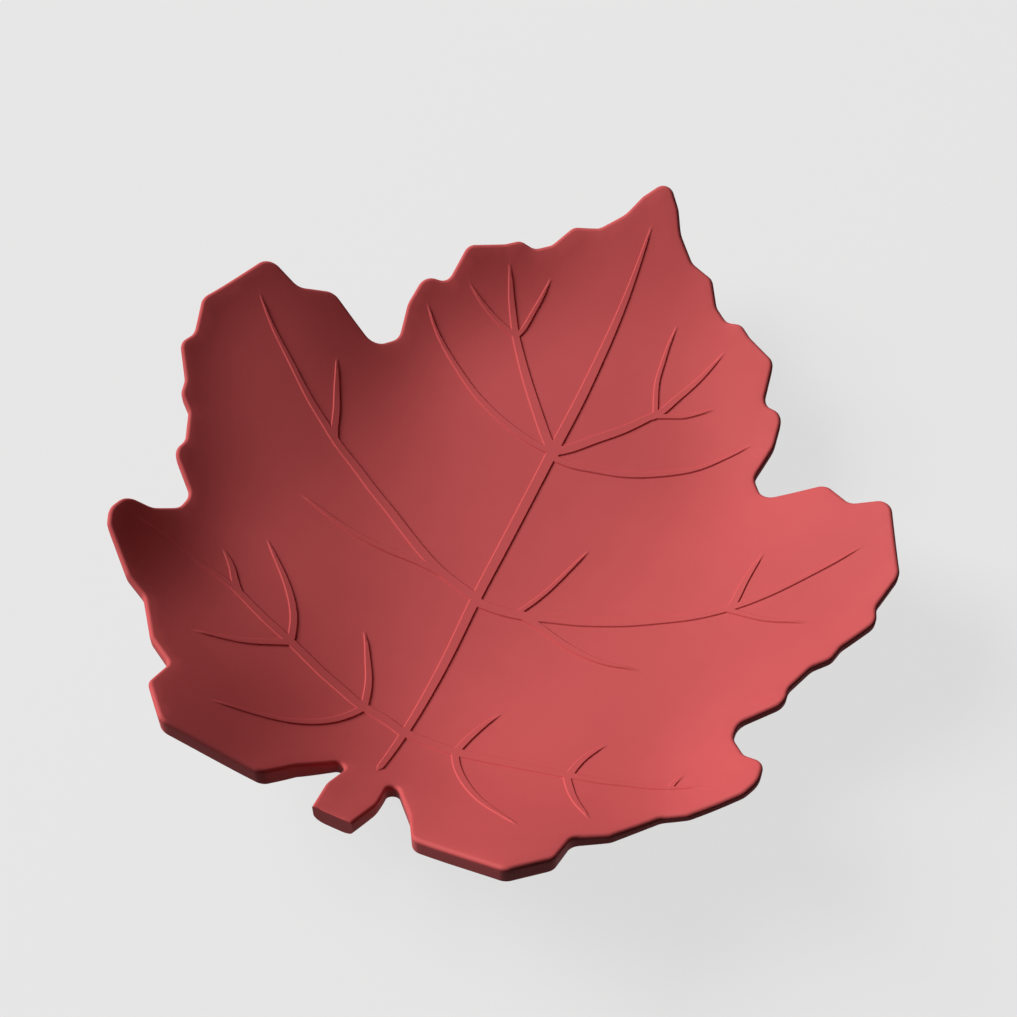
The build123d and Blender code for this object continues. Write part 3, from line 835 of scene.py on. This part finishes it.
wall_way = np.linspace(0, 1, WALL_ROWS + 2)[1:-1, None, None]
wall_rings = under_rings[:1] * (1 - wall_way) + top_rings[:1] * wall_way
side_rings = np.concatenate([under_rings[::-1], wall_rings, top_rings])
patches = [
    (side_rings, ring_quads(len(side_rings), len(outline), True)),
    (lifted(top_plan, top_height), facing(top_plan, top_triangles, True)),
    (lifted(under_plan, under_height(*under_plan.T)), facing(under_plan, under_triangles, False)),
    (land_rows, ring_quads(len(land_rows), CIRCLE_STEPS, False)),
    (lifted(land_plan, land_low), facing(land_plan, land_triangles, False)),
]
for rows, (roof_plan, roof_triangles) in zip(seat_rows, roof_fills):
    patches.append((rows, ring_quads(len(rows), SEAT_STEPS, False)))
    patches.append((lifted(roof_plan, seat_roof), facing(roof_plan, roof_triangles, False)))
dish = joined_mesh("leaf_dish_casting", patches)
shift = Matrix.Translation((0, middle_y, 0))
dish.data.transform(shift)
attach(dish, "root")
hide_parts("leaf_dish")
edge_use = np.bincount(np.array([loop.edge_index for loop in dish.data.loops]))
print("dish faces:", len(dish.data.polygons), "open or doubled edges:", int(np.sum(edge_use != 2)))

# %% Keep crisp edges crisp
CRISP_ANGLE = radians(28)
dish.data.set_sharp_from_angle(angle=CRISP_ANGLE)
print("sharp edges:", sum(edge.use_edge_sharp for edge in dish.data.edges))

# %% [markdown]
# ## Pads and their adhesive
# Each pad is a moulded silicone bumper, a low disc with a soft rim. It is a profile
# turned round its own axis: the profile is a short list of radii and heights, and the
# turning is one multiplication with a circle.

# %% Turned pads
PAD_THICKNESS = 2.0 * MM
PAD_ROUND = 0.6 * MM
PAD_TAPER = 0.12 * MM
PAD_TOP_ROUND = 0.15 * MM
ADHESIVE_DIAMETER = 9 * MM
ADHESIVE_THICKNESS = 0.25 * MM
ADHESIVE_ROUND = 0.08 * MM
TURN_STEPS = 64
DISC_ROWS = 6


def closed_disc(name, radius, low, high, low_round, high_round, taper, place):
    """Closed disc, turned from a profile that starts and ends at the centre.

    The profile runs out along the low flat, round its edge, up the side, which leans in by
    the taper, round the high edge and back in.
    """
    out = np.linspace(0, 1, DISC_ROWS)
    low_flat = out * (radius - low_round)
    high_flat = out[::-1] * (radius - taper - high_round)
    radii = [low_flat, radius - low_round + low_round * come_up,
             radius - taper - high_round * come_in, high_flat]
    heights = [np.full(DISC_ROWS, low), low + low_round * come_in,
               high - high_round + high_round * come_up, np.full(DISC_ROWS, high)]
    rows = turned_rows(np.concatenate(radii), np.concatenate(heights), place, TURN_STEPS)
    piece = joined_mesh(name, [(rows, ring_quads(len(rows), TURN_STEPS, True))])
    piece.data.transform(shift)
    piece.data.set_sharp_from_angle(angle=CRISP_ANGLE)
    return piece


pads = []
adhesives = []
film_top = PAD_THICKNESS + ADHESIVE_THICKNESS
for number, place in enumerate(pad_places, start=1):
    pad = closed_disc(f"bumper_pad_{number}", PAD_DIAMETER / 2, 0.0, PAD_THICKNESS,
                      PAD_ROUND, PAD_TOP_ROUND, PAD_TAPER, place)
    film = closed_disc(f"adhesive_disc_{number}", ADHESIVE_DIAMETER / 2, PAD_THICKNESS, film_top,
                       ADHESIVE_ROUND, ADHESIVE_ROUND, 0.0, place)
    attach(pad, "root")
    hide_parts(f"foot_pad_{number}")
    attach(film, "root")
    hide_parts(f"pad_adhesive_{number}")
    pads.append(pad)
    adhesives.append(film)
print("pads:", len(pads), "adhesive discs:", len(adhesives))

# %% [markdown]
# ## The clay's surface
# The body is coloured right through and has a fine, dry, satin skin: no glaze, no
# print. What the eye reads as clay is small: a cloudiness a few millimetres across, a
# grain far finer than that, and a sheen that is never quite even. A node group makes
# these once, and each material chooses how much of each it wants.

# %% Fine surface group
SURFACE_INPUTS = {
    "Colour": ("NodeSocketColor", (0.5, 0.5, 0.5, 1)),
    "Cloud Colour": ("NodeSocketColor", (0.5, 0.5, 0.5, 1)),
    "Cloud Scale": ("NodeSocketFloat", 120),
    "Grain Scale": ("NodeSocketFloat", 2500),
    "Roughness": ("NodeSocketFloat", 0.5),
    "Roughness Spread": ("NodeSocketFloat", 0.1),
    "Wave Share": ("NodeSocketFloat", 0.5),
}
SURFACE_OUTPUTS = {
    "Colour": "NodeSocketColor",
    "Roughness": "NodeSocketFloat",
    "Height": "NodeSocketFloat",
}
CLOUD_DETAIL = 5
GRAIN_DETAIL = 3
NOISE_MIDDLE = 0.5


def math_node(nodes, links, operation, *values):
    """One math node: each value is a number or the output that feeds that input."""
    node = nodes.new("ShaderNodeMath")
    node.operation = operation
    for number, value in enumerate(values):
        if isinstance(value, bpy.types.NodeSocket):
            links.new(value, node.inputs[number])
        else:
            node.inputs[number].default_value = value
    return node.outputs[0]


def noise_on_object(nodes, links, place, scale, detail):
    """Noise between 0 and 1 on the piece's own coordinates, so it stays put as the piece moves."""
    noise = nodes.new("ShaderNodeTexNoise")
    noise.inputs["Detail"].default_value = detail
    links.new(place.outputs["Object"], noise.inputs["Vector"])
    links.new(scale, noise.inputs["Scale"])
    return noise.outputs["Fac"]


def fine_surface_group():
    """Colour mixed by clouds, roughness moved by the grain, and a height for a bump.

    The roughness is roughness + (grain - its middle) * spread. The height is
    clouds * wave share + grain.
    """
    group = bpy.data.node_groups.new("Fine surface", "ShaderNodeTree")
    for name, (kind, usual) in SURFACE_INPUTS.items():
        socket = group.interface.new_socket(name, in_out="INPUT", socket_type=kind)
        socket.default_value = usual
    for name, kind in SURFACE_OUTPUTS.items():
        group.interface.new_socket(name, in_out="OUTPUT", socket_type=kind)
    nodes, links = group.nodes, group.links
    given = nodes.new("NodeGroupInput").outputs
    result = nodes.new("NodeGroupOutput").inputs
    place = nodes.new("ShaderNodeTexCoord")
    clouds = noise_on_object(nodes, links, place, given["Cloud Scale"], CLOUD_DETAIL)
    grain = noise_on_object(nodes, links, place, given["Grain Scale"], GRAIN_DETAIL)
    mix = nodes.new("ShaderNodeMix")
    mix.data_type = "RGBA"
    links.new(clouds, mix.inputs["Factor"])
    links.new(given["Colour"], mix.inputs["A"])
    links.new(given["Cloud Colour"], mix.inputs["B"])
    links.new(mix.outputs["Result"], result["Colour"])
    around = math_node(nodes, links, "SUBTRACT", grain, NOISE_MIDDLE)
    rough = math_node(nodes, links, "MULTIPLY_ADD",
                      around, given["Roughness Spread"], given["Roughness"])
    links.new(rough, result["Roughness"])
    height = math_node(nodes, links, "MULTIPLY_ADD", clouds, given["Wave Share"], grain)
    links.new(height, result["Height"])
    return group


fine_surface = fine_surface_group()
print("group outputs:", [s.name for s in fine_surface.interface.items_tree if s.in_out == "OUTPUT"])


# %% Materials
def surface_material(name, values, bump_distance, bump_strength, fixed):
    """A Principled surface whose colour, roughness and bump come from the fine surface group."""
    material = bpy.data.materials.new(name)
    material.use_nodes = True
    nodes, links = material.node_tree.nodes, material.node_tree.links
    shader = nodes["Principled BSDF"]
    group = nodes.new("ShaderNodeGroup")
    group.node_tree = fine_surface
    for socket, value in values.items():
        group.inputs[socket].default_value = value
    bump = nodes.new("ShaderNodeBump")
    bump.inputs["Distance"].default_value = bump_distance
    bump.inputs["Strength"].default_value = bump_strength
    links.new(group.outputs["Colour"], shader.inputs["Base Color"])
    links.new(group.outputs["Roughness"], shader.inputs["Roughness"])
    links.new(group.outputs["Height"], bump.inputs["Height"])
    links.new(bump.outputs["Normal"], shader.inputs["Normal"])
    for socket, value in fixed.items():
        shader.inputs[socket].default_value = value
    return material


clay = surface_material("pressed_clay", {
    "Colour": (0.558, 0.0905, 0.0925, 1),
    "Cloud Colour": (0.512, 0.081, 0.083, 1),
    "Cloud Scale": 140,
    "Grain Scale": 3200,
    "Roughness": 0.62,
    "Roughness Spread": 0.25,
    "Wave Share": 0.6,
}, bump_distance=0.03 * MM, bump_strength=0.25, fixed={"Specular IOR Level": 0.09})
silicone = surface_material("bumper_silicone", {
    "Colour": (0.62, 0.62, 0.60, 1),
    "Cloud Colour": (0.55, 0.55, 0.53, 1),
    "Cloud Scale": 200,
    "Grain Scale": 4000,
    "Roughness": 0.42,
    "Roughness Spread": 0.15,
    "Wave Share": 0.4,
}, bump_distance=0.02 * MM, bump_strength=0.3, fixed={
    "Subsurface Weight": 0.3,
    "Subsurface Scale": 1.5 * MM,
    "Specular IOR Level": 0.45,
})
film_finish = surface_material("tacky_film", {
    "Colour": (0.72, 0.69, 0.60, 1),
    "Cloud Colour": (0.66, 0.62, 0.52, 1),
    "Cloud Scale": 300,
    "Grain Scale": 5000,
    "Roughness": 0.35,
    "Roughness Spread": 0.2,
    "Wave Share": 0.5,
}, bump_distance=0.02 * MM, bump_strength=0.4, fixed={"Specular IOR Level": 0.5})
for finish, pieces, node_start in (
        (clay, [dish], "leaf_dish"),
        (silicone, pads, "foot_pad"),
        (film_finish, adhesives, "pad_adhesive")):
    for piece in pieces:
        piece.data.materials.append(finish)
    for name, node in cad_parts.items():
        if name.startswith(node_start):
            node.data.materials.clear()
            node.data.materials.append(finish)
print("materials:", [finish.name for finish in (clay, silicone, film_finish)])

# %% [markdown]
# ## Floor, light and camera
# One large soft lamp stands to the left of the view and a little beyond the leaf, and a
# dim sky fills the rest. So the bowl shades from dark at its left rim to bright at its
# right one. The floor looks pale to the camera, but throws only a little light back on
# the dish: it has one colour for the rays that see it and a dark one for those that
# bounce.

# %% Floor and sky
FLOOR_SIZE = 30.0
SEEN_FLOOR = (0.11, 0.109, 0.109, 1)
SEEN_GLOW = (0.70, 0.695, 0.695, 1)
BOUNCE_FLOOR = (0.02, 0.02, 0.02, 1)
SEEN_SKY = (0.86, 0.86, 0.87, 1)
FILL_LIGHT = (0.012, 0.012, 0.012, 1)
FLOOR_ROUGHNESS = 0.9
FLOOR_SPECULAR = 0.1


def seen_directly(nodes, links):
    """1 for a ray from the camera, a mirror or a clear material, and 0 for light that bounces."""
    path = nodes.new("ShaderNodeLightPath").outputs
    seen = path["Is Camera Ray"]
    for other in ("Is Glossy Ray", "Is Transmission Ray"):
        seen = math_node(nodes, links, "MAXIMUM", seen, path[other])
    return seen


def two_way_mix(nodes, links, away, seen):
    """One colour for light that bounces, and another for what is seen directly."""
    mix = nodes.new("ShaderNodeMix")
    mix.data_type = "RGBA"
    mix.inputs["A"].default_value = away
    mix.inputs["B"].default_value = seen
    links.new(seen_directly(nodes, links), mix.inputs["Factor"])
    return mix.outputs["Result"]


bpy.ops.mesh.primitive_plane_add(size=FLOOR_SIZE)
floor = bpy.context.object
floor.name = "pale_floor"
floor_finish = bpy.data.materials.new("pale_floor_finish")
floor_finish.use_nodes = True
floor_tree = floor_finish.node_tree
floor_inputs = floor_tree.nodes["Principled BSDF"].inputs
floor_inputs["Roughness"].default_value = FLOOR_ROUGHNESS
floor_inputs["Specular IOR Level"].default_value = FLOOR_SPECULAR
floor_inputs["Emission Color"].default_value = SEEN_GLOW
floor_glow = seen_directly(floor_tree.nodes, floor_tree.links)
floor_tree.links.new(floor_glow, floor_inputs["Emission Strength"])
floor_colour = two_way_mix(floor_tree.nodes, floor_tree.links, BOUNCE_FLOOR, SEEN_FLOOR)
floor_tree.links.new(floor_colour, floor_inputs["Base Color"])
floor.data.materials.append(floor_finish)

world = bpy.data.worlds.new("soft_sky")
bpy.context.scene.world = world
world.use_nodes = True
sky_tree = world.node_tree
sky_colour = two_way_mix(sky_tree.nodes, sky_tree.links, FILL_LIGHT, SEEN_SKY)
sky_tree.links.new(sky_colour, sky_tree.nodes["Background"].inputs["Color"])
print("floor and sky ready")

# %% Camera
VIEW_ELEVATION = radians(61)
LEAF_TURN = radians(24.87)
CAMERA_DISTANCE = 489 * MM
CAMERA_RIGHT = -0.631 * MM
CAMERA_UP = 5.571 * MM
CLIP_START = 10 * MM
# Blender counts these two in millimetres
LENS_LENGTH = 90
SENSOR_WIDTH = 36

right = Vector((cos(LEAF_TURN), sin(LEAF_TURN), 0))
away = Vector((-sin(LEAF_TURN), cos(LEAF_TURN), 0))
up = away * sin(VIEW_ELEVATION) + Vector((0, 0, cos(VIEW_ELEVATION)))
back = -away * cos(VIEW_ELEVATION) + Vector((0, 0, sin(VIEW_ELEVATION)))
bowl_point = Vector((0, middle_y, face_low))
camera = bpy.data.objects.new("photo_camera", bpy.data.cameras.new("photo_camera"))
bpy.context.collection.objects.link(camera)
camera.data.lens = LENS_LENGTH
camera.data.sensor_width = SENSOR_WIDTH
camera.data.clip_start = CLIP_START
camera.location = bowl_point + right * CAMERA_RIGHT + up * CAMERA_UP + back * CAMERA_DISTANCE
camera.rotation_euler = Matrix((right, up, back)).transposed().to_euler()
bpy.context.scene.camera = camera
print("camera at", [round(v, 3) for v in camera.location])

# %% Lamps
KEY_DIRECTION = (-0.74, 0.30, 0.585)
KEY_DISTANCE = 4.0
KEY_SIZE = 2.4
KEY_LEVEL = 1.52


def soft_lamp(name, direction, distance, size, level):
    """Square lamp aimed at the bowl, with a power of level * (pi * distance)^2.

    At that power a small lamp gives a white surface that faces it the brightness level.
    """
    lamp = bpy.data.lights.new(name, "AREA")
    lamp.shape = "SQUARE"
    lamp.size = size
    lamp.energy = level * pi * pi * distance * distance
    lamp_object = bpy.data.objects.new(name, lamp)
    bpy.context.collection.objects.link(lamp_object)
    way = (right * direction[0] + away * direction[1] + Vector((0, 0, direction[2]))).normalized()
    lamp_object.location = bowl_point + way * distance
    lamp_object.rotation_euler = way.to_track_quat("Z", "Y").to_euler()
    return lamp_object


key_lamp = soft_lamp("key_lamp", KEY_DIRECTION, KEY_DISTANCE, KEY_SIZE, KEY_LEVEL)
bpy.context.scene.view_settings.view_transform = "Standard"
print("key lamp power", round(key_lamp.data.energy, 1), "W")
